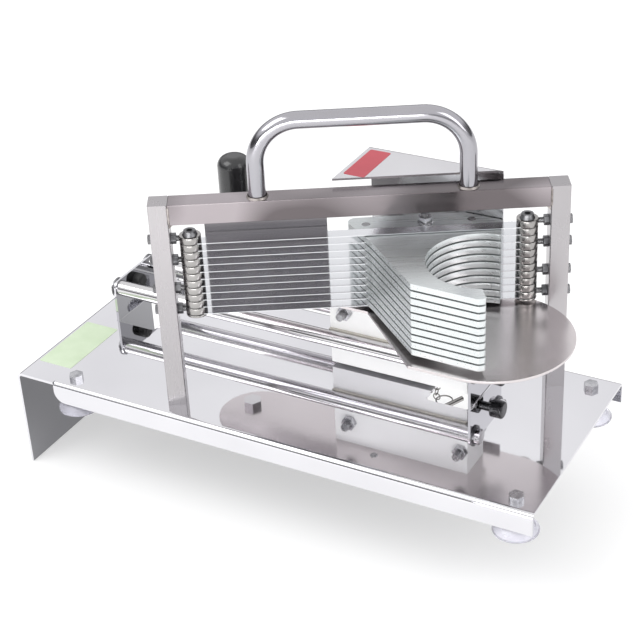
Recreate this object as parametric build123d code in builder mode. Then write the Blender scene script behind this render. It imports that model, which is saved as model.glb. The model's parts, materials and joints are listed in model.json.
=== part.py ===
"""Manual tomato slicer: a sliding pusher carriage on two rods and a slanted frame of thin blades.

Millimetres, +Z up. The origin is the centre of the top surface of the base plate.
+X runs along the base towards the end where the food leaves the pusher's pocket, +Y to the back.
"""

import os
from math import cos, radians, sin

from build123d import *

# Base plate: one bent sheet with two bracket tabs bent up out of it
BASE_LENGTH = 412.0
BASE_WIDTH = 173.0
BASE_SHEET = 2.0
FLANGE_DEPTH = 16.5
FLANGE_START_X = -173.0
END_FLANGE_DEPTH = 80.0
END_FLANGE_LEAN = 0.5
BEND_OUTER = 4.0
TAB_MIDDLE_Y = 36.5
TAB_WIDTH = 56.0
TAB_TOP = 33.5
TAB_RIGHT_FACE = 121.4
TAB_LEFT_FACE = -178.4
SLOT_LENGTH = 35.0
CHAIN_INSET = 2.8
CHAIN_Y = 27.5
BUMPER_HEIGHT = 23.0
BUMPER_RADIUS = 5.8
BUMPER_LENGTH = 7.0
STOP_SCREW_HEIGHT = 14.0
STOP_SCREW_RADIUS = 3.25

# Guide rods and their end stops
ROD_RADIUS = 6.0
ROD_HEIGHT = 26.5
ROD_FRONT_Y = 15.5
ROD_REAR_Y = 57.5
ROD_START = -184.0
ROD_END = 127.0
BORE_RADIUS = 6.05
RING_THICKNESS = 1.2

# Feet
FOOT_SPOTS = [(-160.0, -74.0), (190.0, -74.0), (-160.0, 70.0), (188.0, 70.0)]
FOOT_BOTTOM = -24.0
FOOT_RADIUS = 15.8

# Blade frame: stands at 29.7 degrees to the base length
FRAME_ANGLE = radians(29.7)
FRAME_ORIGIN = (-76.9, -76.5)
FRAME_WIDTH = 284.0
FRAME_DEPTH = 16.0
FRAME_TOP = 159.2
POST_WIDTH = 13.3
BEAM_HEIGHT = 15.0
STACK_U = [26.3, 256.0]
STACK_N = 8.0
HANDLE_U = [74.0, 216.0]
HANDLE_RADIUS = 6.0
HANDLE_MIDDLE_Z = 213.0
HANDLE_BEND = 30.0

# Blades and the spacers between them
BLADE_COUNT = 11
BLADE_PITCH = 5.5
BLADE_TOP_Z = 127.85
BLADE_THICKNESS = 0.5
BLADE_FRONT_N = 3.0
BLADE_BACK_N = 13.0
TOOTH_PITCH = 2.0
TOOTH_DEPTH = 0.8
SPACER_RADIUS = 7.5
PIN_RADIUS = 3.0
STACK_BOTTOM = 71.0
TENSION_SPACERS = [0, 3, 7, 10]
TENSION_RADIUS = 2.0
TENSION_TOP_Z = 130.6

# Carriage
TRAY_TOP = 69.5
TRAY_SHEET = 2.0
TRAY_BACK_Y = 59.0
BLOCK_START = 4.0
BLOCK_END = 113.0
BLOCK_FRONT_Y = 22.0
BLOCK_BACK_Y = 51.0
BLOCK_MIDDLE_X = (BLOCK_START + BLOCK_END) / 2
BLOCK_MIDDLE_Y = (BLOCK_FRONT_Y + BLOCK_BACK_Y) / 2
BLOCK_BOTTOM = 2.5
BLOCK_BOLT_SPOTS = [(17.0, 48.0), (108.0, 48.0)]
BLOCK_BOLT_REACH = 10.0
BLOCK_BOLT_HEAD = 4.0
BLOCK_NUT_RADIUS = 5.8
BLOCK_NUT_HEIGHT = 4.5
STRIP_DEPTH = 3.0
STRIP_REACH = 2.5
STRIP_HEIGHT = 11.0
BEARING_BACK_Y = 66.5
BEARING_HEIGHT = 21.0
BEARING_LENGTH = 30.0
PUSHER_COUNT = 10
PUSHER_THICKNESS = 4.2
PUSHER_TOP_Z = 127.1
PUSHER_BOLT_SPOTS = [(76.5, 32.5), (40.0, 14.5), (103.0, 51.0)]
PUSHER_BOLT_TOPS = [135.0, 127.1, 127.1]
WASHER_RADIUS = 4.8
COVER_TOP = 164.0
COVER_SHEET = 1.5
GRIP_X = -78.0
GRIP_Y = 36.0
GRIP_RADIUS = 12.25
GRIP_TOP = 149.0

os.makedirs("parts", exist_ok=True)


def frame_point(u, n):
    """Base coordinates of a point u along the blade frame and n behind its front face."""
    x = FRAME_ORIGIN[0] + u * cos(FRAME_ANGLE) - n * sin(FRAME_ANGLE)
    y = FRAME_ORIGIN[1] + u * sin(FRAME_ANGLE) + n * cos(FRAME_ANGLE)
    return x, y


def frame_level(z):
    """Horizontal plane at height z whose local axes are u and n of the blade frame."""
    origin = (FRAME_ORIGIN[0], FRAME_ORIGIN[1], z)
    return Plane(origin=origin, x_dir=(cos(FRAME_ANGLE), sin(FRAME_ANGLE), 0), z_dir=(0, 0, 1))


def frame_front(n):
    """Upright plane n behind the frame's front face, local axes u and z, facing forwards."""
    x, y = frame_point(0, n)
    back = (sin(FRAME_ANGLE), -cos(FRAME_ANGLE), 0)
    return Plane(origin=(x, y, 0), x_dir=(cos(FRAME_ANGLE), sin(FRAME_ANGLE), 0), z_dir=back)


def frame_side(u):
    """Upright plane across the frame at u, local axes n and z, facing along u."""
    x, y = frame_point(u, 0)
    across = (-sin(FRAME_ANGLE), cos(FRAME_ANGLE), 0)
    along = (cos(FRAME_ANGLE), sin(FRAME_ANGLE), 0)
    return Plane(origin=(x, y, 0), x_dir=across, z_dir=along)


# Base plate -------------------------------------------------------------------------
HALF_L = BASE_LENGTH / 2
HALF_W = BASE_WIDTH / 2
TAB_FRONT = TAB_MIDDLE_Y - TAB_WIDTH / 2
TAB_BACK = TAB_MIDDLE_Y + TAB_WIDTH / 2

with BuildPart() as base_plate:
    # Deck with its front and back flanges, as one bent channel
    with BuildSketch(Plane.YZ.offset(FLANGE_START_X)):
        with BuildLine():
            outer = FilletPolyline(
                (-HALF_W, -FLANGE_DEPTH), (-HALF_W, 0), (HALF_W, 0), (HALF_W, -FLANGE_DEPTH),
                radius=BEND_OUTER,
            )
            inner = FilletPolyline(
                (-HALF_W + BASE_SHEET, -FLANGE_DEPTH), (-HALF_W + BASE_SHEET, -BASE_SHEET),
                (HALF_W - BASE_SHEET, -BASE_SHEET), (HALF_W - BASE_SHEET, -FLANGE_DEPTH),
                radius=BEND_OUTER - BASE_SHEET,
            )
            Line(outer @ 0, inner @ 0)
            Line(outer @ 1, inner @ 1)
        make_face()
    extrude(amount=HALF_L - FLANGE_START_X)
    # Flat left end and the deep flange that hooks over the edge of a worktop
    with BuildSketch(Plane.XZ):
        with BuildLine():
            top = FilletPolyline(
                (FLANGE_START_X, 0), (-HALF_L, 0),
                (-HALF_L + END_FLANGE_LEAN, -END_FLANGE_DEPTH),
                radius=BEND_OUTER,
            )
            under = FilletPolyline(
                (FLANGE_START_X, -BASE_SHEET), (-HALF_L + BASE_SHEET, -BASE_SHEET),
                (-HALF_L + END_FLANGE_LEAN + BASE_SHEET, -END_FLANGE_DEPTH),
                radius=BEND_OUTER - BASE_SHEET,
            )
            Line(top @ 0, under @ 0)
            Line(top @ 1, under @ 1)
        make_face()
    extrude(amount=HALF_W, both=True)
    # Windows left where the two bracket tabs were bent up
    with BuildSketch(Plane.XY.offset(-BASE_SHEET)):
        with Locations((TAB_RIGHT_FACE - SLOT_LENGTH / 2, TAB_MIDDLE_Y)):
            RectangleRounded(SLOT_LENGTH, TAB_WIDTH + 2, 4)
        with Locations((TAB_LEFT_FACE + SLOT_LENGTH / 2 - BASE_SHEET, TAB_MIDDLE_Y)):
            RectangleRounded(SLOT_LENGTH, TAB_WIDTH + 2, 4)
    extrude(amount=BASE_SHEET, mode=Mode.SUBTRACT)
    # Right tab
    with BuildSketch(Plane.XZ.offset(-TAB_MIDDLE_Y)):
        with BuildLine():
            outside = FilletPolyline(
                (TAB_RIGHT_FACE + 8, -BASE_SHEET), (TAB_RIGHT_FACE - BASE_SHEET, -BASE_SHEET),
                (TAB_RIGHT_FACE - BASE_SHEET, TAB_TOP), radius=3.0,
            )
            inside = FilletPolyline(
                (TAB_RIGHT_FACE + 8, 0), (TAB_RIGHT_FACE, 0), (TAB_RIGHT_FACE, TAB_TOP), radius=1.0,
            )
            Line(outside @ 0, inside @ 0)
            Line(outside @ 1, inside @ 1)
        make_face()
    extrude(amount=TAB_WIDTH / 2, both=True)
    # Left tab
    with BuildSketch(Plane.XZ.offset(-TAB_MIDDLE_Y)):
        with BuildLine():
            outside = FilletPolyline(
                (TAB_LEFT_FACE - 10, -BASE_SHEET), (TAB_LEFT_FACE, -BASE_SHEET),
                (TAB_LEFT_FACE, TAB_TOP), radius=3.0,
            )
            inside = FilletPolyline(
                (TAB_LEFT_FACE - 10, 0), (TAB_LEFT_FACE - BASE_SHEET, 0),
                (TAB_LEFT_FACE - BASE_SHEET, TAB_TOP), radius=1.0,
            )
            Line(outside @ 0, inside @ 0)
            Line(outside @ 1, inside @ 1)
        make_face()
    extrude(amount=TAB_WIDTH / 2, both=True)
    # Rod holes through both tabs
    with BuildSketch(Plane.YZ.offset(-HALF_L)):
        with Locations((ROD_FRONT_Y, ROD_HEIGHT), (ROD_REAR_Y, ROD_HEIGHT)):
            Circle(ROD_RADIUS)
    extrude(amount=BASE_LENGTH, mode=Mode.SUBTRACT)
    # Hole for the stop screw in the right tab and for the bumper in the left one
    with BuildSketch(Plane.YZ.offset(TAB_RIGHT_FACE - 10)):
        with Locations((TAB_MIDDLE_Y, STOP_SCREW_HEIGHT)):
            Circle(STOP_SCREW_RADIUS)
    extrude(amount=20, mode=Mode.SUBTRACT)
    with BuildSketch(Plane.YZ.offset(TAB_LEFT_FACE - 10)):
        with Locations((TAB_MIDDLE_Y, BUMPER_HEIGHT)):
            Circle(3.0)
    extrude(amount=20, mode=Mode.SUBTRACT)
    # Hole for the first link of the lock pin's chain
    with BuildSketch(Plane.XY.offset(-BASE_SHEET)):
        with Locations((TAB_RIGHT_FACE - SLOT_LENGTH - CHAIN_INSET, CHAIN_Y)):
            Circle(1.5)
    extrude(amount=BASE_SHEET, mode=Mode.SUBTRACT)
    # Foot bolt holes
    with BuildSketch(Plane.XY.offset(-BASE_SHEET)):
        with Locations(*FOOT_SPOTS):
            Circle(PIN_RADIUS)
    extrude(amount=BASE_SHEET, mode=Mode.SUBTRACT)
    # Rounded top corners of the tabs
    tab_tops = base_plate.edges().filter_by(Axis.X)
    tab_corners = tab_tops.filter_by_position(Axis.Z, TAB_TOP - 0.1, TAB_TOP + 0.1)
    fillet(tab_corners, radius=6.0)
    # Rounded lower corners at the left ends of the front and back flanges
    flange_ends = base_plate.edges().filter_by(Axis.Y).filter_by_position(
        Axis.Z, -FLANGE_DEPTH - 0.1, -FLANGE_DEPTH + 0.1
    ).filter_by_position(Axis.X, FLANGE_START_X - 0.1, FLANGE_START_X + 0.1)
    fillet(flange_ends, radius=9.0)
base_plate.part.label = "base_plate"
export_step(base_plate.part, "parts/base_plate.step")

# Plain patch in place of a printed sticker on the base's left end
with BuildPart() as base_label:
    with BuildSketch(Plane.XY):
        with Locations((-186.5, -34.0)):
            RectangleRounded(29.0, 62.0, 1.0)
    extrude(amount=0.2)
base_label.part.label = "base_label"
export_step(base_label.part, "parts/base_label.step")

# Blade frame ------------------------------------------------------------------------
with BuildPart() as post_front:
    with BuildSketch(frame_level(0)):
        with Locations((POST_WIDTH / 2, FRAME_DEPTH / 2)):
            Rectangle(POST_WIDTH, FRAME_DEPTH)
    extrude(amount=FRAME_TOP)
    chamfer(post_front.edges().filter_by(Axis.Z), length=0.6)
    for index in TENSION_SPACERS:
        with BuildSketch(frame_side(-5)):
            with Locations((STACK_N, TENSION_TOP_Z - BLADE_PITCH * index)):
                Circle(TENSION_RADIUS)
        extrude(amount=POST_WIDTH + 10, mode=Mode.SUBTRACT)
post_front.part.label = "post_front"
export_step(post_front.part, "parts/post_front.step")

with BuildPart() as post_rear:
    with BuildSketch(frame_level(0)):
        with Locations((FRAME_WIDTH - POST_WIDTH / 2, FRAME_DEPTH / 2)):
            Rectangle(POST_WIDTH, FRAME_DEPTH)
    extrude(amount=FRAME_TOP)
    chamfer(post_rear.edges().filter_by(Axis.Z), length=0.6)
    for index in TENSION_SPACERS:
        with BuildSketch(frame_side(FRAME_WIDTH - POST_WIDTH - 5)):
            with Locations((STACK_N, TENSION_TOP_Z - BLADE_PITCH * index)):
                Circle(TENSION_RADIUS)
        extrude(amount=POST_WIDTH + 10, mode=Mode.SUBTRACT)
post_rear.part.label = "post_rear"
export_step(post_rear.part, "parts/post_rear.step")

with BuildPart() as frame_beam:
    with BuildSketch(frame_level(FRAME_TOP - BEAM_HEIGHT)):
        with Locations((FRAME_WIDTH / 2, FRAME_DEPTH / 2)):
            Rectangle(FRAME_WIDTH - 2 * POST_WIDTH, FRAME_DEPTH)
    extrude(amount=BEAM_HEIGHT)
frame_beam.part.label = "frame_beam"
export_step(frame_beam.part, "parts/frame_beam.step")

# Weld beads: the two inner corners of the frame, and round the feet of the handle
with BuildPart() as frame_welds:
    with BuildSketch(frame_front(1.0)):
        with BuildLine():
            Polyline(
                (POST_WIDTH, FRAME_TOP - BEAM_HEIGHT), (POST_WIDTH + 3, FRAME_TOP - BEAM_HEIGHT),
                (POST_WIDTH, FRAME_TOP - BEAM_HEIGHT - 3), close=True,
            )
        make_face()
        with BuildLine():
            Polyline(
                (FRAME_WIDTH - POST_WIDTH, FRAME_TOP - BEAM_HEIGHT),
                (FRAME_WIDTH - POST_WIDTH, FRAME_TOP - BEAM_HEIGHT - 3),
                (FRAME_WIDTH - POST_WIDTH - 3, FRAME_TOP - BEAM_HEIGHT), close=True,
            )
        make_face()
    extrude(amount=-(FRAME_DEPTH - 2))
    for u in HANDLE_U:
        with BuildSketch(frame_level(FRAME_TOP)):
            with Locations((u, STACK_N)):
                Circle(HANDLE_RADIUS + 1.6)
                Circle(HANDLE_RADIUS, mode=Mode.SUBTRACT)
        extrude(amount=1.4, taper=30)
frame_welds.part.label = "frame_welds"
export_step(frame_welds.part, "parts/frame_welds.step")

# Lifting handle: a bent round bar standing on the beam
with BuildPart() as lift_handle:
    with BuildLine(frame_front(STACK_N)) as handle_path:
        FilletPolyline(
            (HANDLE_U[0], FRAME_TOP), (HANDLE_U[0], HANDLE_MIDDLE_Z),
            (HANDLE_U[1], HANDLE_MIDDLE_Z), (HANDLE_U[1], FRAME_TOP),
            radius=HANDLE_BEND,
        )
    with BuildSketch(frame_level(FRAME_TOP)):
        with Locations((HANDLE_U[0], STACK_N)):
            Circle(HANDLE_RADIUS)
    sweep(path=handle_path.wires()[0])
lift_handle.part.label = "lift_handle"
export_step(lift_handle.part, "parts/lift_handle.step")

# Guide rods -------------------------------------------------------------------------
with BuildPart() as guide_rod_front:
    with BuildSketch(Plane.YZ.offset(ROD_START)):
        with Locations((ROD_FRONT_Y, ROD_HEIGHT)):
            Circle(ROD_RADIUS)
    extrude(amount=ROD_END - ROD_START)
    chamfer(guide_rod_front.edges().filter_by(GeomType.CIRCLE), length=0.8)
guide_rod_front.part.label = "guide_rod_front"
export_step(guide_rod_front.part, "parts/guide_rod_front.step")

with BuildPart() as guide_rod_rear:
    with BuildSketch(Plane.YZ.offset(ROD_START)):
        with Locations((ROD_REAR_Y, ROD_HEIGHT)):
            Circle(ROD_RADIUS)
    extrude(amount=ROD_END - ROD_START)
    chamfer(guide_rod_rear.edges().filter_by(GeomType.CIRCLE), length=0.8)
guide_rod_rear.part.label = "guide_rod_rear"
export_step(guide_rod_rear.part, "parts/guide_rod_rear.step")

# Retaining rings on the rods, against the outer face of each tab
with BuildPart() as rod_rings:
    for start in [TAB_LEFT_FACE - BASE_SHEET - RING_THICKNESS, TAB_RIGHT_FACE]:
        with BuildSketch(Plane.YZ.offset(start)):
            with Locations((ROD_FRONT_Y, ROD_HEIGHT), (ROD_REAR_Y, ROD_HEIGHT)):
                Circle(ROD_RADIUS + 1.8)
                Circle(ROD_RADIUS, mode=Mode.SUBTRACT)
        extrude(amount=RING_THICKNESS)
rod_rings.part.label = "rod_rings"
export_step(rod_rings.part, "parts/rod_rings.step")

# Rubber bumper on the left tab, held by a stud through it
with BuildPart() as end_bumper:
    with BuildSketch(Plane.YZ.offset(TAB_LEFT_FACE - BASE_SHEET)):
        with Locations((TAB_MIDDLE_Y, BUMPER_HEIGHT)):
            Circle(3.0)
    extrude(amount=BASE_SHEET)
    with BuildSketch(Plane.YZ.offset(TAB_LEFT_FACE)):
        with Locations((TAB_MIDDLE_Y, BUMPER_HEIGHT)):
            Circle(BUMPER_RADIUS)
    extrude(amount=BUMPER_LENGTH)
    fillet(end_bumper.edges().filter_by(GeomType.CIRCLE).sort_by(Axis.X)[-1], radius=2.5)
end_bumper.part.label = "end_bumper"
export_step(end_bumper.part, "parts/end_bumper.step")

# Stop screw with a black head, through the right tab
with BuildPart() as stop_screw:
    with BuildSketch(Plane.YZ.offset(BLOCK_END + 0.6)):
        with Locations((TAB_MIDDLE_Y, STOP_SCREW_HEIGHT)):
            Circle(STOP_SCREW_RADIUS)
    extrude(amount=TAB_RIGHT_FACE + 5 - BLOCK_END - 0.6)
    with BuildSketch(Plane.YZ.offset(TAB_RIGHT_FACE + 5)):
        with Locations((TAB_MIDDLE_Y, STOP_SCREW_HEIGHT)):
            Circle(6.5)
    extrude(amount=9)
    fillet(stop_screw.edges().filter_by(GeomType.CIRCLE).sort_by(Axis.X)[-1], radius=1.2)
stop_screw.part.label = "stop_screw"
export_step(stop_screw.part, "parts/stop_screw.step")

# Feet -------------------------------------------------------------------------------
with BuildPart() as foot_bolts:
    with BuildSketch(Plane.XY):
        with Locations(*FOOT_SPOTS):
            RegularPolygon(5.4, 6)
    extrude(amount=3.8)
    with BuildSketch(Plane.XY):
        with Locations(*FOOT_SPOTS):
            Circle(PIN_RADIUS)
    extrude(amount=-11.0)
foot_bolts.part.label = "foot_bolts"
export_step(foot_bolts.part, "parts/foot_bolts.step")

for index, (foot_x, foot_y) in enumerate(FOOT_SPOTS):
    with BuildPart() as suction_foot:
        # Half section of the cup, turned about the bolt's axis
        with BuildSketch(Plane(origin=(foot_x, foot_y, 0), x_dir=(1, 0, 0), z_dir=(0, -1, 0))):
            with BuildLine():
                Polyline(
                    (PIN_RADIUS, -BASE_SHEET), (8.0, -BASE_SHEET), (8.0, -7.5), (7.0, -9.0),
                    (7.0, -13.0), (9.0, -16.5), (13.0, -19.5), (FOOT_RADIUS, -23.0),
                    (FOOT_RADIUS, FOOT_BOTTOM), (14.0, FOOT_BOTTOM), (11.0, -21.0),
                    (6.0, -18.5), (0.0, -17.5), (0.0, -11.0), (PIN_RADIUS, -11.0), close=True,
                )
            make_face()
        revolve(axis=Axis((foot_x, foot_y, 0), (0, 0, 1)))
    suction_foot.part.label = f"suction_foot_{index + 1}"
    export_step(suction_foot.part, f"parts/suction_foot_{index + 1}.step")

# Blades -----------------------------------------------------------------------------
BLADE_START = STACK_U[0] - 5.0
BLADE_END = STACK_U[1] + 5.0
for index in range(BLADE_COUNT):
    blade_z = BLADE_TOP_Z - BLADE_PITCH * index
    with BuildPart() as blade:
        with BuildSketch(frame_level(blade_z - BLADE_THICKNESS / 2)):
            teeth = [(BLADE_START, BLADE_FRONT_N), (BLADE_END, BLADE_FRONT_N)]
            teeth.append((BLADE_END, BLADE_BACK_N - TOOTH_DEPTH))
            tooth_u = STACK_U[1] - 9.0
            while tooth_u > STACK_U[0] + 11.0:
                teeth.append((tooth_u, BLADE_BACK_N - TOOTH_DEPTH))
                teeth.append((tooth_u - TOOTH_PITCH / 2, BLADE_BACK_N))
                tooth_u = tooth_u - TOOTH_PITCH
            teeth.append((tooth_u, BLADE_BACK_N - TOOTH_DEPTH))
            teeth.append((BLADE_START, BLADE_BACK_N - TOOTH_DEPTH))
            with BuildLine():
                Polyline(*teeth, close=True)
            make_face()
            with Locations((STACK_U[0], STACK_N), (STACK_U[1], STACK_N)):
                Circle(PIN_RADIUS, mode=Mode.SUBTRACT)
        extrude(amount=BLADE_THICKNESS)
    blade.part.label = f"blade_{index + 1:02d}"
    export_step(blade.part, f"parts/blade_{index + 1:02d}.step")

# Spacer rings between the blades, one column at each end, and a thin washer at the bottom
for column, name in enumerate(["spacers_front", "spacers_rear"]):
    with BuildPart() as spacers:
        for index in range(BLADE_COUNT):
            spacer_z = BLADE_TOP_Z + BLADE_THICKNESS / 2 - BLADE_PITCH * index
            with BuildSketch(frame_level(spacer_z)):
                with Locations((STACK_U[column], STACK_N)):
                    Circle(SPACER_RADIUS)
                    Circle(PIN_RADIUS, mode=Mode.SUBTRACT)
            extrude(amount=BLADE_PITCH - BLADE_THICKNESS)
        with BuildSketch(frame_level(STACK_BOTTOM)):
            with Locations((STACK_U[column], STACK_N)):
                Circle(SPACER_RADIUS)
                Circle(PIN_RADIUS, mode=Mode.SUBTRACT)
        extrude(amount=BLADE_TOP_Z - 10 * BLADE_PITCH - BLADE_THICKNESS / 2 - STACK_BOTTOM)
    spacers.part.label = name
    export_step(spacers.part, f"parts/{name}.step")

# Domed socket screws that hold each column of blades and spacers together
STACK_TOP = BLADE_TOP_Z + BLADE_THICKNESS / 2 + BLADE_PITCH - BLADE_THICKNESS
with BuildPart() as stack_screws:
    for stack_u in STACK_U:
        with BuildSketch(frame_level(STACK_BOTTOM)):
            with Locations((stack_u, STACK_N)):
                Circle(PIN_RADIUS)
        extrude(amount=STACK_TOP - STACK_BOTTOM)
        with BuildSketch(frame_level(STACK_TOP)):
            with Locations((stack_u, STACK_N)):
                Circle(5.4)
        extrude(amount=3.2, taper=20)
        with BuildSketch(frame_level(STACK_TOP + 1.2)):
            with Locations((stack_u, STACK_N)):
                RegularPolygon(2.3, 6)
        extrude(amount=2.0, mode=Mode.SUBTRACT)
stack_screws.part.label = "stack_screws"
export_step(stack_screws.part, "parts/stack_screws.step")

# Tension screws: from the outside of each post to the spacer column beside it
with BuildPart() as tension_screws:
    for index in TENSION_SPACERS:
        screw_z = TENSION_TOP_Z - BLADE_PITCH * index
        with BuildSketch(frame_side(0)):
            with Locations((STACK_N, screw_z)):
                Circle(TENSION_RADIUS)
        extrude(amount=STACK_U[0] - SPACER_RADIUS)
        with BuildSketch(frame_side(-2.6)):
            with Locations((STACK_N, screw_z)):
                RegularPolygon(3.4, 6)
        extrude(amount=2.6)
        with BuildSketch(frame_side(STACK_U[1] + SPACER_RADIUS)):
            with Locations((STACK_N, screw_z)):
                Circle(TENSION_RADIUS)
        extrude(amount=FRAME_WIDTH - STACK_U[1] - SPACER_RADIUS)
        with BuildSketch(frame_side(FRAME_WIDTH)):
            with Locations((STACK_N, screw_z)):
                RegularPolygon(3.4, 6)
        extrude(amount=2.6)
tension_screws.part.label = "tension_screws"
export_step(tension_screws.part, "parts/tension_screws.step")

with BuildPart() as tension_nuts:
    for index in TENSION_SPACERS:
        nut_z = TENSION_TOP_Z - BLADE_PITCH * index
        for nut_u in [POST_WIDTH, FRAME_WIDTH - POST_WIDTH - 3.6]:
            with BuildSketch(frame_side(nut_u)):
                with Locations((STACK_N, nut_z)):
                    RegularPolygon(4.0, 6)
                    Circle(TENSION_RADIUS, mode=Mode.SUBTRACT)
            extrude(amount=3.6)
tension_nuts.part.label = "tension_nuts"
export_step(tension_nuts.part, "parts/tension_nuts.step")

# Lock pin for transport, on a short chain hooked through a hole beside the right window
CHAIN_X = TAB_RIGHT_FACE - SLOT_LENGTH
with BuildPart() as lock_pin:
    with Locations(Location((CHAIN_X, CHAIN_Y, -1.0), (90, 0, 0))):
        Torus(2.8, 0.45)
    with Locations(Location((CHAIN_X, CHAIN_Y, -5.52), (0, 90, 0))):
        Torus(2.6, 0.45)
    with Locations(Location((CHAIN_X, CHAIN_Y, -9.84), (90, 0, 0))):
        Torus(2.6, 0.45)
    # The ring on the last link, and the pin on the ring
    with Locations((CHAIN_X + 6.0, CHAIN_Y, -11.42)):
        Torus(6.0, 0.55)
    with BuildSketch(Plane(origin=(CHAIN_X + 8.0, 16.0, -11.42), x_dir=(0, 0, 1), z_dir=(0.42, 0.91, 0))):
        Circle(1.9)
    extrude(amount=21.0)
lock_pin.part.label = "lock_pin"
export_step(lock_pin.part, "parts/lock_pin.step")

# Carriage ---------------------------------------------------------------------------
TRAY_BOTTOM = TRAY_TOP - TRAY_SHEET
with BuildPart() as carriage_plate:
    with BuildSketch(Plane.XY.offset(TRAY_BOTTOM)):
        with BuildLine():
            Polyline(
                (-67.0, TRAY_BACK_Y), (-67.0, -4.3), (49.0, -4.3), (105.0, -56.5), (138.5, -56.5),
                (138.5, TRAY_BACK_Y), close=True,
            )
        make_face()
        # Rounded left end under the grip
        with Locations((-67.0, (TRAY_BACK_Y - 4.3) / 2)):
            Circle((TRAY_BACK_Y + 4.3) / 2)
        # Rounded right end under the pocket
        with Locations((138.5, (TRAY_BACK_Y - 56.5) / 2)):
            Circle((TRAY_BACK_Y + 56.5) / 2)
        with Locations(*PUSHER_BOLT_SPOTS):
            Circle(PIN_RADIUS, mode=Mode.SUBTRACT)
        with Locations((GRIP_X, GRIP_Y)):
            Circle(4.0, mode=Mode.SUBTRACT)
    extrude(amount=TRAY_SHEET)
carriage_plate.part.label = "carriage_plate"
export_step(carriage_plate.part, "parts/carriage_plate.step")

# Solid plastic block under the plate, between the rods
with BuildPart() as slide_block:
    with BuildSketch(Plane.XY.offset(BLOCK_BOTTOM)):
        with Locations((BLOCK_MIDDLE_X, BLOCK_MIDDLE_Y)):
            Rectangle(BLOCK_END - BLOCK_START, BLOCK_BACK_Y - BLOCK_FRONT_Y)
    extrude(amount=TRAY_BOTTOM - BLOCK_BOTTOM)
    # Recess for the front guide strip
    with BuildSketch(Plane.YZ.offset(BLOCK_START)):
        with Locations((BLOCK_FRONT_Y + STRIP_DEPTH / 2, ROD_HEIGHT)):
            Rectangle(STRIP_DEPTH, STRIP_HEIGHT)
    extrude(amount=BLOCK_END - BLOCK_START, mode=Mode.SUBTRACT)
    with BuildSketch(Plane.XZ.offset(-BLOCK_BACK_Y)):
        with Locations(*BLOCK_BOLT_SPOTS):
            Circle(PIN_RADIUS)
    extrude(amount=BLOCK_BACK_Y - BLOCK_FRONT_Y, mode=Mode.SUBTRACT)
slide_block.part.label = "slide_block"
export_step(slide_block.part, "parts/slide_block.step")

with BuildPart() as block_bolts:
    with BuildSketch(Plane.XZ.offset(-BLOCK_BACK_Y)):
        with Locations(*BLOCK_BOLT_SPOTS):
            Circle(PIN_RADIUS)
    extrude(amount=BLOCK_BACK_Y - BLOCK_FRONT_Y + BLOCK_BOLT_REACH)
    with BuildSketch(Plane.XZ.offset(-BLOCK_BACK_Y - BLOCK_BOLT_HEAD)):
        with Locations(*BLOCK_BOLT_SPOTS):
            RegularPolygon(BLOCK_NUT_RADIUS, 6)
    extrude(amount=BLOCK_BOLT_HEAD)
block_bolts.part.label = "block_bolts"
export_step(block_bolts.part, "parts/block_bolts.step")

with BuildPart() as block_nuts:
    with BuildSketch(Plane.XZ.offset(-BLOCK_FRONT_Y)):
        with Locations(*BLOCK_BOLT_SPOTS):
            RegularPolygon(BLOCK_NUT_RADIUS, 6)
            Circle(PIN_RADIUS, mode=Mode.SUBTRACT)
    extrude(amount=BLOCK_NUT_HEIGHT)
block_nuts.part.label = "block_nuts"
export_step(block_nuts.part, "parts/block_nuts.step")

# Grooved plastic strip set in the block's front face, which runs along the front rod
with BuildPart() as guide_strip:
    with BuildSketch(Plane.YZ.offset(BLOCK_START)):
        with Locations((BLOCK_FRONT_Y + (STRIP_DEPTH - STRIP_REACH) / 2, ROD_HEIGHT)):
            Rectangle(STRIP_DEPTH + STRIP_REACH, STRIP_HEIGHT)
        with Locations((ROD_FRONT_Y, ROD_HEIGHT)):
            Circle(BORE_RADIUS, mode=Mode.SUBTRACT)
    extrude(amount=BLOCK_END - BLOCK_START)
guide_strip.part.label = "guide_strip"
export_step(guide_strip.part, "parts/guide_strip.step")

# Bored plastic blocks on the back of the slide block, which run on the rear rod
for start, name in [(8.0, "bearing_rear_left"), (78.0, "bearing_rear_right")]:
    with BuildPart() as bearing_rear:
        with BuildSketch(Plane.YZ.offset(start)):
            with Locations(((BLOCK_BACK_Y + BEARING_BACK_Y) / 2, ROD_HEIGHT)):
                Rectangle(BEARING_BACK_Y - BLOCK_BACK_Y, BEARING_HEIGHT)
            with Locations((ROD_REAR_Y, ROD_HEIGHT)):
                Circle(BORE_RADIUS, mode=Mode.SUBTRACT)
        extrude(amount=BEARING_LENGTH)
    bearing_rear.part.label = name
    export_step(bearing_rear.part, f"parts/{name}.step")

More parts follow.
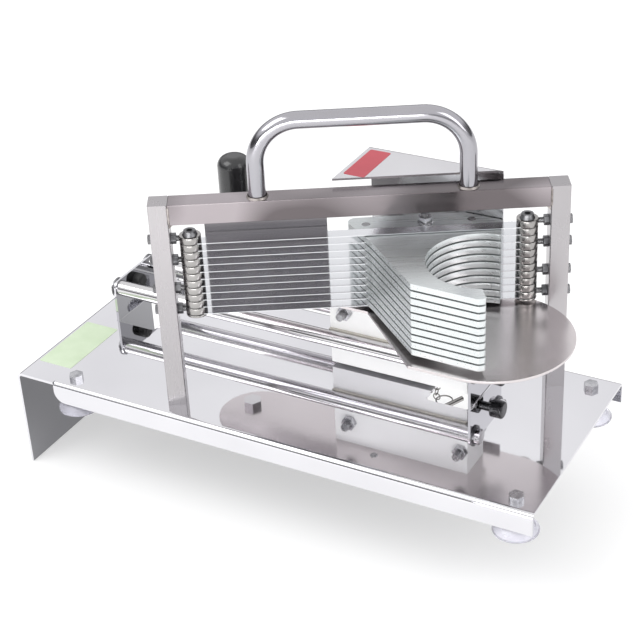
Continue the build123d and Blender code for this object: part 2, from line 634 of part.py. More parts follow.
# Pusher plates: a stack with a round pocket, one plate in each gap between two blades
for index in range(PUSHER_COUNT):
    plate_z = PUSHER_TOP_Z - BLADE_PITCH * index - PUSHER_THICKNESS
    with BuildPart() as pusher_plate:
        with BuildSketch(Plane.XY.offset(plate_z)) as pusher_outline:
            with BuildLine():
                Polyline(
                    (21.0, 16.0), (55.0, -7.5), (104.0, -48.5), (152.0, -49.5), (156.0, -46.0),
                    (148.0, -35.0), (134.0, 0.0), (130.5, 38.0), (123.5, 58.0), (94.5, 58.0),
                    close=True,
                )
            make_face()
            tip_corners = pusher_outline.vertices().filter_by_position(Axis.X, 150, 157)
            fillet(tip_corners, radius=1.8)
            back_corners = pusher_outline.vertices().filter_by_position(Axis.Y, 57.9, 58.1)
            fillet(back_corners, radius=3.0)
            left_corner = pusher_outline.vertices().sort_by(Axis.X)[0]
            fillet(left_corner, radius=6.0)
            with Locations((134.0, -1.0)):
                Circle(38.0, mode=Mode.SUBTRACT)
            with Locations(*PUSHER_BOLT_SPOTS):
                Circle(PIN_RADIUS, mode=Mode.SUBTRACT)
        extrude(amount=PUSHER_THICKNESS)
    pusher_plate.part.label = f"pusher_plate_{index + 1:02d}"
    export_step(pusher_plate.part, f"parts/pusher_plate_{index + 1:02d}.step")

with BuildPart() as pusher_bolts:
    for spot, bolt_top in zip(PUSHER_BOLT_SPOTS, PUSHER_BOLT_TOPS):
        with BuildSketch(Plane.XY.offset(TRAY_BOTTOM)):
            with Locations(spot):
                Circle(PIN_RADIUS)
        extrude(amount=bolt_top - TRAY_BOTTOM)
pusher_bolts.part.label = "pusher_bolts"
export_step(pusher_bolts.part, "parts/pusher_bolts.step")

# Washers that keep the pusher plates apart, behind the blades, and one below the stack
with BuildPart() as pusher_washers:
    for index in range(1, PUSHER_COUNT):
        washer_z = PUSHER_TOP_Z - BLADE_PITCH * index
        with BuildSketch(Plane.XY.offset(washer_z)):
            with Locations(*PUSHER_BOLT_SPOTS):
                Circle(WASHER_RADIUS)
            with Locations(*PUSHER_BOLT_SPOTS):
                Circle(PIN_RADIUS, mode=Mode.SUBTRACT)
        extrude(amount=BLADE_PITCH - PUSHER_THICKNESS)
    with BuildSketch(Plane.XY.offset(TRAY_TOP)):
        with Locations(*PUSHER_BOLT_SPOTS):
            Circle(WASHER_RADIUS)
        with Locations(*PUSHER_BOLT_SPOTS):
            Circle(PIN_RADIUS, mode=Mode.SUBTRACT)
    extrude(amount=PUSHER_TOP_Z - BLADE_PITCH * (PUSHER_COUNT - 1) - PUSHER_THICKNESS - TRAY_TOP)
pusher_washers.part.label = "pusher_washers"
export_step(pusher_washers.part, "parts/pusher_washers.step")

# Washer and nut on the one bolt that stands above the stack
with BuildPart() as pusher_nut:
    with BuildSketch(Plane.XY.offset(PUSHER_TOP_Z)):
        with Locations(PUSHER_BOLT_SPOTS[0]):
            Circle(5.4)
            Circle(PIN_RADIUS, mode=Mode.SUBTRACT)
    extrude(amount=1.2)
    with BuildSketch(Plane.XY.offset(PUSHER_TOP_Z + 1.2)):
        with Locations(PUSHER_BOLT_SPOTS[0]):
            RegularPolygon(5.2, 6)
            Circle(PIN_RADIUS, mode=Mode.SUBTRACT)
    extrude(amount=4.4)
pusher_nut.part.label = "pusher_nut"
export_step(pusher_nut.part, "parts/pusher_nut.step")

# Hand guard: an upright panel just behind the blades, with a foot on the carriage plate
with BuildPart() as hand_guard:
    with BuildSketch(frame_front(16.6)):
        with BuildLine():
            Polyline(
                (36.0, 66.0), (110.0, 66.0), (110.0, TRAY_TOP), (120.0, TRAY_TOP), (120.0, 148.0),
                (36.0, 148.0), close=True,
            )
        make_face()
    extrude(amount=-COVER_SHEET)
    with BuildSketch(frame_level(TRAY_TOP)):
        with BuildLine():
            Polyline((112.0, 18.0), (120.0, 18.0), (120.0, 34.0), (100.0, 34.0), (100.0, 25.0), close=True)
        make_face()
    extrude(amount=COVER_SHEET)
hand_guard.part.label = "hand_guard"
export_step(hand_guard.part, "parts/hand_guard.step")

with BuildPart() as guard_screws:
    with BuildSketch(frame_level(TRAY_TOP + COVER_SHEET)):
        with Locations((114.0, 24.5), (107.0, 29.5)):
            Circle(3.0)
    extrude(amount=1.8, taper=15)
guard_screws.part.label = "guard_screws"
export_step(guard_screws.part, "parts/guard_screws.step")

# Back plate, bent forwards at the top into the cover over the pusher plates
with BuildPart() as back_cover:
    with BuildSketch(Plane.YZ.offset(22.0)):
        with BuildLine():
            shell = FilletPolyline(
                (TRAY_BACK_Y + COVER_SHEET, 62.0), (TRAY_BACK_Y + COVER_SHEET, COVER_TOP),
                (1.7, COVER_TOP), radius=3.5,
            )
            lining = FilletPolyline(
                (TRAY_BACK_Y, 62.0), (TRAY_BACK_Y, COVER_TOP - COVER_SHEET),
                (1.7, COVER_TOP - COVER_SHEET), radius=2.0,
            )
            Line(shell @ 0, lining @ 0)
            Line(shell @ 1, lining @ 1)
        make_face()
    extrude(amount=101.0)
    # Front edge of the cover follows the beam
    with BuildSketch(Plane.XY.offset(COVER_TOP - 10)):
        with BuildLine():
            Polyline((22.0, 1.7), (121.7, 58.5), (130.0, 58.5), (130.0, -10.0), (22.0, -10.0), close=True)
        make_face()
    extrude(amount=12.0, mode=Mode.SUBTRACT)
back_cover.part.label = "back_cover"
export_step(back_cover.part, "parts/back_cover.step")

# Plain patch in place of a printed sticker on the cover
with BuildPart() as cover_label:
    with BuildSketch(Plane.XY.offset(COVER_TOP)):
        with Locations((33.0, 33.0)):
            RectangleRounded(16.0, 42.0, 1.5)
    extrude(amount=0.2)
cover_label.part.label = "cover_label"
export_step(cover_label.part, "parts/cover_label.step")

# Push handle: a steel stud through the carriage plate and a black grip on it
with BuildPart() as handle_stud:
    with BuildSketch(Plane.XY.offset(TRAY_BOTTOM)):
        with Locations((GRIP_X, GRIP_Y)):
            Circle(4.0)
    extrude(amount=130.0 - TRAY_BOTTOM)
    with BuildSketch(Plane.XY.offset(TRAY_BOTTOM - 5)):
        with Locations((GRIP_X, GRIP_Y)):
            RegularPolygon(7.5, 6)
    extrude(amount=5.0)
    with BuildSketch(Plane.XY.offset(TRAY_TOP)):
        with Locations((GRIP_X, GRIP_Y)):
            Circle(8.0)
    extrude(amount=3.0)
handle_stud.part.label = "handle_stud"
export_step(handle_stud.part, "parts/handle_stud.step")

with BuildPart() as grip:
    with BuildSketch(Plane.XY.offset(TRAY_TOP + 3)):
        with Locations((GRIP_X, GRIP_Y)):
            Circle(GRIP_RADIUS)
    extrude(amount=GRIP_TOP - TRAY_TOP - 3)
    fillet(grip.edges().filter_by(GeomType.CIRCLE).sort_by(Axis.Z)[-1], radius=8.0)
    fillet(grip.edges().filter_by(GeomType.CIRCLE).sort_by(Axis.Z)[0], radius=1.5)
    with BuildSketch(Plane.XY.offset(TRAY_TOP + 3)):
        with Locations((GRIP_X, GRIP_Y)):
            Circle(4.0)
    extrude(amount=130.0 - TRAY_TOP - 3, mode=Mode.SUBTRACT)
grip.part.label = "grip"
export_step(grip.part, "parts/grip.step")
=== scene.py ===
"""Looks of the manual tomato slicer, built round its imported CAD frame. Metres, +Z up."""

import json
from math import cos, pi, radians, sin

import bpy
from mathutils import Matrix, Vector


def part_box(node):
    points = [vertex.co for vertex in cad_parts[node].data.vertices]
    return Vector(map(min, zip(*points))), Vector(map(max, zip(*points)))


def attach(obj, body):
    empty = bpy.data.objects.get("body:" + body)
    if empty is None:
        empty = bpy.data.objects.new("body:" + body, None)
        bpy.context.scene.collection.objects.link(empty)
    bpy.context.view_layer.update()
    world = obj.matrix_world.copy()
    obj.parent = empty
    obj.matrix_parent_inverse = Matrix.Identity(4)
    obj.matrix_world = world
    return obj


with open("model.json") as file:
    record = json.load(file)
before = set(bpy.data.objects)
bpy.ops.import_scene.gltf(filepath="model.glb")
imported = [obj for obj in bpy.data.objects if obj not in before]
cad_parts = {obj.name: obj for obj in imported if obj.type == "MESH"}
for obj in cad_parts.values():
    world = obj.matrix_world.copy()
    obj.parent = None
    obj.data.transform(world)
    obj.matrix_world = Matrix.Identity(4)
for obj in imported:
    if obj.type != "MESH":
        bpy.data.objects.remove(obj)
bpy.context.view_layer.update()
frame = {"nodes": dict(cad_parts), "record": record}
nodes = frame["nodes"]

# The blade frame stands at this angle to the base length
FRAME_ANGLE = radians(29.7)
# Lower edge of the deep end flange
FLANGE_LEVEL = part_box("base_plate")[0][2]

# Stretch of the brush lines' noise: coarse along the lines, fine across them
ALONG_X = (6, 900, 900)
ALONG_Z = (900, 900, 6)

# A band texture of scale 1 repeats at this distance, in metres
WAVE_SPAN = 0.314
THREAD_PITCH = 0.0008


# Node helpers -----------------------------------------------------------------------
class Recipe:
    """A material's node tree, with short calls for the nodes that the recipes below use."""

    def __init__(self, name, color, metallic=0.0, roughness=0.5):
        self.material = bpy.data.materials.new(name)
        self.material.use_nodes = True
        self.tree = self.material.node_tree
        self.tree.nodes.clear()
        output = self.add("ShaderNodeOutputMaterial")
        self.shader = self.add("ShaderNodeBsdfPrincipled")
        self.link(self.shader.outputs[0], output.inputs["Surface"])
        self.set("Base Color", (*color, 1.0))
        self.set("Metallic", metallic)
        self.set("Roughness", roughness)
        self.coords = self.add("ShaderNodeTexCoord").outputs["Object"]

    def add(self, kind):
        return self.tree.nodes.new(kind)

    def link(self, start, end):
        self.tree.links.new(start, end)

    def set(self, socket, value):
        self.shader.inputs[socket].default_value = value

    def place(self, scale=(1, 1, 1), turn=0.0):
        """Object coordinates, turned about +Z and then scaled along each axis."""
        turned = self.add("ShaderNodeMapping")
        turned.inputs["Rotation"].default_value = (0, 0, -turn)
        self.link(self.coords, turned.inputs["Vector"])
        scaled = self.add("ShaderNodeMapping")
        scaled.inputs["Scale"].default_value = scale
        self.link(turned.outputs[0], scaled.inputs["Vector"])
        return scaled.outputs[0]

    def noise(self, scale, stretch=(1, 1, 1), turn=0.0, detail=3.0):
        texture = self.add("ShaderNodeTexNoise")
        texture.inputs["Scale"].default_value = scale
        texture.inputs["Detail"].default_value = detail
        self.link(self.place(stretch, turn), texture.inputs["Vector"])
        return texture.outputs["Fac"]

    def wave(self, scale, axis, turn):
        """Bands across one axis of the turned coordinates."""
        texture = self.add("ShaderNodeTexWave")
        texture.wave_type = "BANDS"
        texture.bands_direction = axis
        texture.inputs["Scale"].default_value = scale
        self.link(self.place(turn=turn), texture.inputs["Vector"])
        return texture.outputs["Fac"]

    def range(self, value, low, high, start=0.0, end=1.0):
        """Maps start..end of a value to low..high, clamped."""
        node = self.add("ShaderNodeMapRange")
        node.inputs["From Min"].default_value = start
        node.inputs["From Max"].default_value = end
        node.inputs["To Min"].default_value = low
        node.inputs["To Max"].default_value = high
        self.link(value, node.inputs["Value"])
        return node.outputs[0]

    def mix(self, value, dark, light):
        """Colour between dark and light, by a value of 0 to 1."""
        node = self.add("ShaderNodeMix")
        node.data_type = "RGBA"
        node.inputs[6].default_value = (*dark, 1.0)
        node.inputs[7].default_value = (*light, 1.0)
        self.link(value, node.inputs[0])
        return node.outputs[2]

    def cover(self, value, below, color):
        """The colour made by other nodes below, covered by a plain one where the value is 1."""
        node = self.add("ShaderNodeMix")
        node.data_type = "RGBA"
        node.inputs[7].default_value = (*color, 1.0)
        self.link(below, node.inputs[6])
        self.link(value, node.inputs[0])
        return node.outputs[2]

    def multiply_add(self, value, factor, added):
        """A value times a number, plus another value."""
        node = self.add("ShaderNodeMath")
        node.operation = "MULTIPLY_ADD"
        self.link(value, node.inputs[0])
        node.inputs[1].default_value = factor
        self.link(added, node.inputs[2])
        return node.outputs[0]

    def give(self, value, socket):
        """Links a node's output to one of the shader's sockets."""
        self.link(value, self.shader.inputs[socket])

    def bump(self, value, depth):
        """Relief made by a value of 0 to 1, depth in metres."""
        node = self.add("ShaderNodeBump")
        node.inputs["Distance"].default_value = depth
        node.inputs["Strength"].default_value = 1.0
        self.link(value, node.inputs["Height"])
        self.give(node.outputs[0], "Normal")


def metal(name, dark, light, roughness, spread, grain, turn, relief, smudge=0.06):
    """Sheet or bar steel: cloudy tone, uneven polish, and brush lines along one axis.

    grain is the stretch of the brush lines, small along them and large across; relief is their
    depth in metres, and smudge is what they add to the roughness.
    """
    recipe = Recipe(name, light, metallic=1.0, roughness=roughness)
    clouds = recipe.noise(9.0, detail=2.0, turn=turn)
    recipe.give(recipe.mix(recipe.range(clouds, 0, 1, 0.3, 0.7), dark, light), "Base Color")
    smears = recipe.noise(22.0, stretch=(1, 2.2, 1), turn=turn, detail=2.0)
    polish = recipe.range(smears, roughness, roughness + spread, 0.35, 0.75)
    lines = recipe.noise(1.0, stretch=grain, turn=turn, detail=2.0)
    recipe.give(recipe.multiply_add(lines, smudge, polish), "Roughness")
    recipe.bump(lines, relief)
    return recipe.material


def deck():
    """Mirror-polished sheet with painted shade: near-black underneath and darker on the faces turned
    towards the middle.
    """
    recipe = Recipe("deck_steel", (0.74, 0.735, 0.76), metallic=1.0, roughness=0.035)
    clouds = recipe.range(recipe.noise(9.0, detail=2.0), 0, 1, 0.3, 0.7)
    polished = recipe.mix(clouds, (0.70, 0.695, 0.72), (0.78, 0.775, 0.80))
    facing = recipe.add("ShaderNodeTexCoord").outputs["Normal"]
    split = recipe.add("ShaderNodeSeparateXYZ")
    recipe.link(facing, split.inputs[0])
    under = recipe.range(split.outputs["Z"], 1, 0, -0.9, -0.6)
    # How far out the point lies along its face's own level direction: negative on an inward face
    level = recipe.add("ShaderNodeVectorMath")
    level.operation = "MULTIPLY"
    level.inputs[1].default_value = (1, 1, 0)
    recipe.link(recipe.coords, level.inputs[0])
    outwards = recipe.add("ShaderNodeVectorMath")
    outwards.operation = "DOT_PRODUCT"
    recipe.link(facing, outwards.inputs[0])
    recipe.link(level.outputs[0], outwards.inputs[1])
    inwards = recipe.range(outwards.outputs["Value"], 1, 0, -0.03, -0.01)
    # Painted shade: faces turned inwards get a darker colour for the shade that falls between the flanges
    inward_painted_shade = recipe.cover(inwards, polished, (0.30, 0.30, 0.315))
    # Painted shade: the underside gets a near-black colour for the shade under the sheet
    recipe.give(recipe.cover(under, inward_painted_shade, (0.07, 0.07, 0.078)), "Base Color")
    smears = recipe.noise(22.0, stretch=(1, 2.2, 1), detail=2.0)
    gloss = recipe.range(smears, 0.03, 0.06, 0.35, 0.75)
    recipe.give(recipe.multiply_add(under, 0.25, gloss), "Roughness")
    recipe.bump(recipe.noise(1.0, stretch=ALONG_X, detail=2.0), 0.0000005)
    return recipe.material


def beam():
    """The frame's top bar: polished, with broad dusky patches."""
    recipe = Recipe("beam_steel", (0.5, 0.46, 0.47), metallic=1.0, roughness=0.16)
    patches = recipe.noise(11.0, detail=1.0, turn=FRAME_ANGLE)
    shade = recipe.range(patches, 0, 1, 0.42, 0.60)
    recipe.give(recipe.mix(shade, (0.15, 0.132, 0.137), (0.42, 0.38, 0.395)), "Base Color")
    lines = recipe.noise(1.0, stretch=ALONG_X, turn=FRAME_ANGLE, detail=2.0)
    recipe.give(recipe.range(lines, 0.12, 0.22, 0.3, 0.7), "Roughness")
    recipe.bump(lines, 0.000006)
    return recipe.material


def plate():
    """Satin plate of the pusher, part frosted and part metallic, with a faint green tone."""
    recipe = Recipe("pusher_sheet", (0.74, 0.76, 0.765), metallic=0.8, roughness=0.28)
    clouds = recipe.range(recipe.noise(14.0, detail=3.0), 0, 1, 0.3, 0.7)
    recipe.give(recipe.mix(clouds, (0.64, 0.67, 0.675), (0.72, 0.75, 0.75)), "Base Color")
    lines = recipe.noise(1.0, stretch=ALONG_X, turn=FRAME_ANGLE, detail=2.0)
    recipe.give(recipe.range(lines, 0.26, 0.34, 0.3, 0.7), "Roughness")
    recipe.bump(recipe.noise(40.0, detail=2.0), 0.00002)
    return recipe.material


def fastener(name, dark, light, roughness):
    """Machined steel with fine turning marks and a little grime in the tone."""
    recipe = Recipe(name, light, metallic=1.0, roughness=roughness)
    spots = recipe.noise(160.0, detail=5.0)
    recipe.give(recipe.mix(recipe.range(spots, 0, 1, 0.35, 0.65), dark, light), "Base Color")
    recipe.give(recipe.range(spots, roughness, roughness + 0.18, 0.3, 0.8), "Roughness")
    recipe.bump(recipe.noise(900.0, detail=2.0), 0.00002)
    return recipe.material


def threaded(name, axis, turn):
    """Screw steel with a thread's ridges along one axis."""
    recipe = Recipe(name, (0.40, 0.40, 0.41), metallic=1.0, roughness=0.22)
    spots = recipe.noise(160.0, detail=4.0)
    recipe.give(recipe.mix(spots, (0.16, 0.16, 0.17), (0.52, 0.52, 0.53)), "Base Color")
    recipe.give(recipe.range(spots, 0.18, 0.36), "Roughness")
    recipe.bump(recipe.wave(WAVE_SPAN / THREAD_PITCH, axis, turn), 0.0002)
    return recipe.material


def moulded(name, dark, light, roughness, relief=0.00003, coat=0.0):
    """Moulded plastic or rubber with a fine surface and uneven gloss."""
    recipe = Recipe(name, light, roughness=roughness)
    patches = recipe.noise(30.0, detail=5.0)
    recipe.give(recipe.mix(patches, dark, light), "Base Color")
    recipe.give(recipe.range(patches, roughness, roughness + 0.12, 0.3, 0.7), "Roughness")
    recipe.bump(recipe.noise(500.0), relief)
    recipe.set("Coat Weight", coat)
    recipe.set("Coat Roughness", 0.06)
    return recipe.material


def vinyl(name):
    """Soft see-through vinyl of the suction feet."""
    recipe = Recipe(name, (0.80, 0.77, 0.95), roughness=0.22)
    clouds = recipe.noise(60.0, detail=3.0)
    recipe.give(recipe.mix(clouds, (0.84, 0.83, 0.94), (0.96, 0.955, 1.0)), "Base Color")
    recipe.give(recipe.range(clouds, 0.14, 0.34, 0.3, 0.7), "Roughness")
    recipe.set("Transmission Weight", 0.75)
    recipe.set("IOR", 1.45)
    return recipe.material


def film(name, dark, light):
    """Plain printed film: faint mottling and an eggshell gloss."""
    recipe = Recipe(name, light, roughness=0.35)
    patches = recipe.noise(70.0, detail=5.0)
    recipe.give(recipe.mix(patches, dark, light), "Base Color")
    recipe.give(recipe.range(patches, 0.28, 0.42), "Roughness")
    recipe.bump(recipe.noise(240.0, detail=4.0), 0.00004)
    return recipe.material


LOOKS = {
    "deck_steel": deck(),
    "frame_steel": metal(
        "frame_steel", (0.42, 0.405, 0.415), (0.50, 0.48, 0.49),
        0.22, 0.08, ALONG_Z, FRAME_ANGLE, 0.00001,
    ),
    "beam_steel": beam(),
    "spacer_steel": metal(
        "spacer_steel", (0.34, 0.33, 0.32), (0.64, 0.62, 0.61),
        0.14, 0.10, ALONG_Z, 0, 0.000004,
    ),
    "cover_steel": metal(
        "cover_steel", (0.68, 0.67, 0.69), (0.75, 0.745, 0.76),
        0.12, 0.06, ALONG_X, 0, 0.000002,
    ),
    "weld_steel": fastener("weld_steel", (0.20, 0.18, 0.17), (0.50, 0.46, 0.44), 0.35),
    "tube_steel": metal(
        "tube_steel", (0.36, 0.355, 0.38), (0.50, 0.49, 0.52),
        0.09, 0.05, ALONG_X, FRAME_ANGLE, 0.000003,
    ),
    "polished_steel": metal(
        "polished_steel", (0.62, 0.61, 0.62), (0.72, 0.71, 0.72),
        0.08, 0.08, ALONG_X, 0, 0.000003,
    ),
    "dark_steel": fastener("dark_steel", (0.10, 0.10, 0.105), (0.30, 0.30, 0.31), 0.28),
    "bolt_steel": fastener("bolt_steel", (0.34, 0.34, 0.36), (0.60, 0.60, 0.62), 0.18),
    "blade_steel": metal(
        "blade_steel", (0.72, 0.73, 0.75), (0.84, 0.85, 0.87),
        0.12, 0.08, ALONG_X, FRAME_ANGLE, 0.000003,
    ),
    "pusher_sheet": plate(),
    "tray_steel": metal(
        "tray_steel", (0.62, 0.58, 0.585), (0.70, 0.655, 0.66),
        0.20, 0.06, ALONG_X, 0, 0.0000006, 0.02,
    ),
    "block_plastic": moulded("block_plastic", (0.84, 0.84, 0.84), (0.90, 0.90, 0.90), 0.38),
    "guard_steel": metal(
        "guard_steel", (0.17, 0.16, 0.17), (0.24, 0.23, 0.24),
        0.14, 0.06, ALONG_X, FRAME_ANGLE, 0.000003,
    ),
    "black_plastic": moulded("black_plastic", (0.008, 0.008, 0.009), (0.022, 0.022, 0.024), 0.22, coat=0.5),
    "black_rubber": moulded(
        "black_rubber", (0.010, 0.010, 0.011), (0.035, 0.035, 0.036),
        0.55, relief=0.00006,
    ),
    "bearing_plastic": moulded("bearing_plastic", (0.62, 0.59, 0.52), (0.78, 0.75, 0.68), 0.42),
    "foot_vinyl": vinyl("foot_vinyl"),
    "pale_label": film("pale_label", (0.50, 0.62, 0.42), (0.66, 0.76, 0.58)),
    "red_label": film("red_label", (0.44, 0.045, 0.065), (0.56, 0.085, 0.11)),
}
SLOTS = {part["node"]: part["material_slot"] for part in frame["record"]["subparts"]}
for node_name, node_object in nodes.items():
    node_object.data.materials.clear()
    node_object.data.materials.append(LOOKS[SLOTS[node_name]])

# Screws with a thread, the axis it runs along and that axis's turn about +Z
THREADS = [("tension_screws", "X", FRAME_ANGLE), ("pusher_bolts", "Z", 0.0), ("block_bolts", "Y", 0.0)]
for node_name, axis, turn in THREADS:
    nodes[node_name].data.materials.clear()
    nodes[node_name].data.materials.append(threaded("thread_" + node_name, axis, turn))


# Fine edge rounding on the CAD pieces whose edges catch the light -------------------
JOINED_CORNERS = 0.000005
SHARP_ANGLE = radians(40)


def soften(names, width, segments=2):
    """Welds the loose corners of imported meshes and rounds their sharp edges a little."""
    for name in names:
        piece = nodes[name]
        weld = piece.modifiers.new("weld", "WELD")
        weld.merge_threshold = JOINED_CORNERS
        bevel = piece.modifiers.new("edges", "BEVEL")
        bevel.width = width
        bevel.segments = segments
        bevel.limit_method = "ANGLE"
        bevel.angle_limit = SHARP_ANGLE
        bevel.harden_normals = True


PUSHER_PLATES = [name for name in nodes if name.startswith("pusher_plate_")]
soften(PUSHER_PLATES, 0.0009, 3)
soften(["frame_beam", "carriage_plate", "hand_guard"], 0.0004)
soften(["spacers_front", "spacers_rear", "block_nuts", "foot_bolts", "pusher_nut", "tension_nuts"], 0.0003)


# Weld seams -------------------------------------------------------------------------
FRAME_DEPTH = 0.016
POST_WIDTH = 0.0133
FRAME_WIDTH = 0.284
# The front post's box starts at the corner of its front face, in Y, and at that of its back face, in X
POST_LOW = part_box("post_front")[0]
FRAME_CORNER = (POST_LOW[0] + FRAME_DEPTH * sin(FRAME_ANGLE), POST_LOW[1])
BEAM_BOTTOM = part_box("frame_beam")[0][2]
BEAM_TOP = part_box("frame_beam")[1][2]
SEAM_RADIUS = 0.0008
SEAM_RIPPLE = 0.0011
SEAM_END_GAP = 0.001


def frame_place(u, n, z):
    """A point u along the blade frame, n behind its front face and z up, from the front post's corner."""
    return (
        FRAME_CORNER[0] + u * cos(FRAME_ANGLE) - n * sin(FRAME_ANGLE),
        FRAME_CORNER[1] + u * sin(FRAME_ANGLE) + n * cos(FRAME_ANGLE),
        z,
    )


def weld_seam(name, start, end):
    """A raised bead from start to end, with the ripples that a weld leaves and tapered ends."""
    axis = Vector(end) - Vector(start)
    length = axis.length
    axis.normalize()
    side = axis.orthogonal().normalized()
    other = axis.cross(side)
    rings, around = 60, 14
    points = []
    faces = []
    for ring in range(rings + 1):
        along = ring / rings
        swell = 0.82 + 0.18 * abs(sin(pi * along * length / SEAM_RIPPLE))
        taper = min(1.0, 8 * along + 0.2, 8 * (1 - along) + 0.2)
        reach = SEAM_RADIUS * swell * taper
        ring_middle = Vector(start) + axis * length * along
        for step in range(around):
            turn = 2 * pi * step / around
            points.append(ring_middle + (side * cos(turn) + other * sin(turn)) * reach)
    for ring in range(rings):
        for step in range(around):
            first = ring * around + step
            second = ring * around + (step + 1) % around
            faces.append((first, second, second + around, first + around))
    faces.append(tuple(reversed(range(around))))
    faces.append(tuple(rings * around + step for step in range(around)))
    mesh = bpy.data.meshes.new(name)
    mesh.from_pydata(points, [], faces)
    mesh.polygons.foreach_set("use_smooth", [True] * len(mesh.polygons))
    bead = bpy.data.objects.new(name, mesh)
    bpy.context.collection.objects.link(bead)
    mesh.materials.append(LOOKS["weld_steel"])
    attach(bead, "base")


for index, seam_u in enumerate([POST_WIDTH, FRAME_WIDTH - POST_WIDTH]):
    for face, seam_n in [("front", 0.0), ("back", FRAME_DEPTH)]:
        start = frame_place(seam_u, seam_n, BEAM_BOTTOM)
        end = frame_place(seam_u, seam_n, BEAM_TOP - SEAM_END_GAP)
        weld_seam(f"corner_seam_{face}_{index + 1}", start, end)


# Stage ------------------------------------------------------------------------------
def slab(name, low, high):
    """A plain block between two corners."""
    mesh = bpy.data.meshes.new(name)
    corners = [(x, y, z) for z in (low[2], high[2]) for y in (low[1], high[1]) for x in (low[0], high[0])]
    faces = [(0, 2, 3, 1), (4, 5, 7, 6), (0, 1, 5, 4), (2, 6, 7, 3), (0, 4, 6, 2), (1, 3, 7, 5)]
    mesh.from_pydata(corners, [], faces)
    piece = bpy.data.objects.new(name, mesh)
    bpy.context.collection.objects.link(piece)
    return piece


# A pale floor just under the deep end flange, which reaches below the feet
REACH = 12.0
FLOOR_TOP = FLANGE_LEVEL - 0.0005
FLOOR_BOTTOM = FLANGE_LEVEL - 0.03
floor = slab("floor", (-REACH, -REACH, FLOOR_BOTTOM), (REACH, REACH, FLOOR_TOP))
paper = Recipe("paper", (0.62, 0.62, 0.62), roughness=0.9)
paper.bump(paper.noise(600.0), 0.00002)
paper.set("Emission Color", (1, 1, 1, 1))
paper.set("Emission Strength", 0.42)
floor.data.materials.append(paper.material)


def area_light(name, place, target, size, power):
    """A white rectangular light turned to a target; size in metres, power in watts."""
    data = bpy.data.lights.new(name, "AREA")
    data.shape = "RECTANGLE"
    data.size, data.size_y = size
    data.energy = power
    lamp = bpy.data.objects.new(name, data)
    bpy.context.collection.objects.link(lamp)
    lamp.location = place
    lamp.rotation_mode = "QUATERNION"
    lamp.rotation_quaternion = (Vector(target) - Vector(place)).to_track_quat("-Z", "Y")


area_light("key", (-0.9, -0.9, 1.6), (0, 0, 0.05), (1.2, 1.2), 14.0)
area_light("side", (1.6, -0.3, 0.9), (0, 0, 0.05), (0.6, 1.4), 6.0)
area_light("front", (0.35, -1.7, 0.30), (0, 0, 0.03), (1.6, 0.5), 16.0)


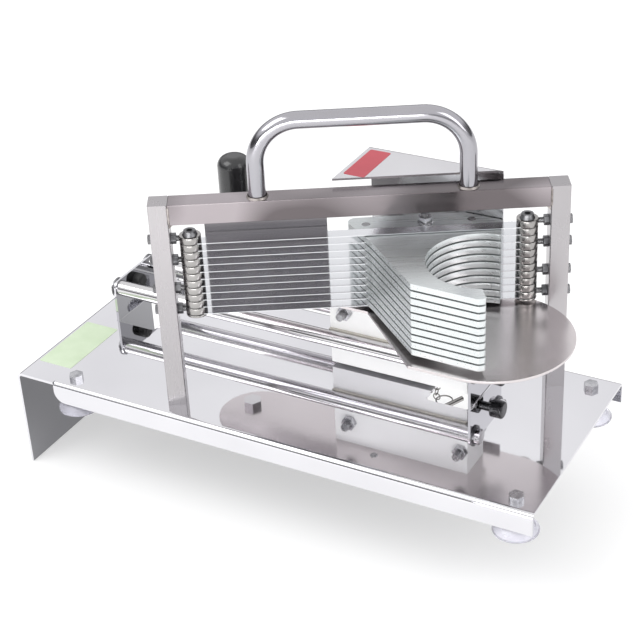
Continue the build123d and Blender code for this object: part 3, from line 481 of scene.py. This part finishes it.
def studio():
    """Soft pale surroundings: bright above, with a few greyer stretches round the horizon."""
    world = bpy.data.worlds.new("studio")
    bpy.context.scene.world = world
    world.use_nodes = True
    tree = world.node_tree
    tree.nodes.clear()
    coords = tree.nodes.new("ShaderNodeTexCoord")
    split = tree.nodes.new("ShaderNodeSeparateXYZ")
    tree.links.new(coords.outputs["Generated"], split.inputs[0])
    height = tree.nodes.new("ShaderNodeValToRGB")
    ramp = height.color_ramp
    ramp.elements[0].position = 0.0
    ramp.elements[0].color = (0.55, 0.55, 0.57, 1)
    ramp.elements[1].position = 1.0
    ramp.elements[1].color = (1.0, 1.0, 1.0, 1)
    for position, tone in [(0.06, 0.52), (0.14, 0.38), (0.24, 0.50), (0.36, 1.0)]:
        element = ramp.elements.new(position)
        element.color = (tone, tone, tone * 1.02, 1)
    tree.links.new(split.outputs["Z"], height.inputs["Fac"])
    # Broad darker and lighter stretches round the horizon, like walls and windows of a room
    walls = tree.nodes.new("ShaderNodeTexNoise")
    walls.inputs["Scale"].default_value = 1.7
    walls.inputs["Detail"].default_value = 0.0
    tree.links.new(coords.outputs["Generated"], walls.inputs["Vector"])
    contrast = tree.nodes.new("ShaderNodeMapRange")
    contrast.inputs["From Min"].default_value = 0.38
    contrast.inputs["From Max"].default_value = 0.62
    contrast.inputs["To Min"].default_value = 0.2
    contrast.inputs["To Max"].default_value = 1.0
    tree.links.new(walls.outputs["Fac"], contrast.inputs["Value"])
    near_horizon = tree.nodes.new("ShaderNodeMapRange")
    near_horizon.inputs["From Min"].default_value = 0.25
    near_horizon.inputs["From Max"].default_value = 0.42
    tree.links.new(split.outputs["Z"], near_horizon.inputs["Value"])
    shade = tree.nodes.new("ShaderNodeMix")
    shade.inputs[3].default_value = 1.0
    tree.links.new(near_horizon.outputs[0], shade.inputs[0])
    tree.links.new(contrast.outputs[0], shade.inputs[2])
    background = tree.nodes.new("ShaderNodeBackground")
    tree.links.new(shade.outputs[0], background.inputs["Strength"])
    tree.links.new(height.outputs["Color"], background.inputs["Color"])
    output = tree.nodes.new("ShaderNodeOutputWorld")
    tree.links.new(background.outputs[0], output.inputs["Surface"])


studio()
bpy.context.scene.view_settings.view_transform = "Standard"
bpy.context.scene.view_settings.exposure = 0.0


# Camera -----------------------------------------------------------------------------
CAMERA_PLACE = (0.4972, -0.8495, 0.6292)
CAMERA_HEADING = radians(29.94)
CAMERA_DOWN = radians(30.55)
CAMERA_ROLL = radians(3.0)
LENS = 89.59


def make_camera():
    """A camera at CAMERA_PLACE, turned by its heading from +Y, tipped down, then rolled."""
    data = bpy.data.cameras.new("camera")
    data.sensor_width = 36.0
    data.lens = LENS
    data.clip_start = 0.05
    data.clip_end = 60.0
    camera = bpy.data.objects.new("camera", data)
    bpy.context.collection.objects.link(camera)
    ahead = Vector((
        -sin(CAMERA_HEADING) * cos(CAMERA_DOWN), cos(CAMERA_HEADING) * cos(CAMERA_DOWN), -sin(CAMERA_DOWN)
    ))
    level = Vector((cos(CAMERA_HEADING), sin(CAMERA_HEADING), 0))
    above = level.cross(ahead)
    right = cos(CAMERA_ROLL) * level - sin(CAMERA_ROLL) * above
    up = sin(CAMERA_ROLL) * level + cos(CAMERA_ROLL) * above
    turn = Matrix((right, up, -ahead)).transposed().to_4x4()
    camera.matrix_world = Matrix.Translation(CAMERA_PLACE) @ turn
    bpy.context.scene.camera = camera


make_camera()
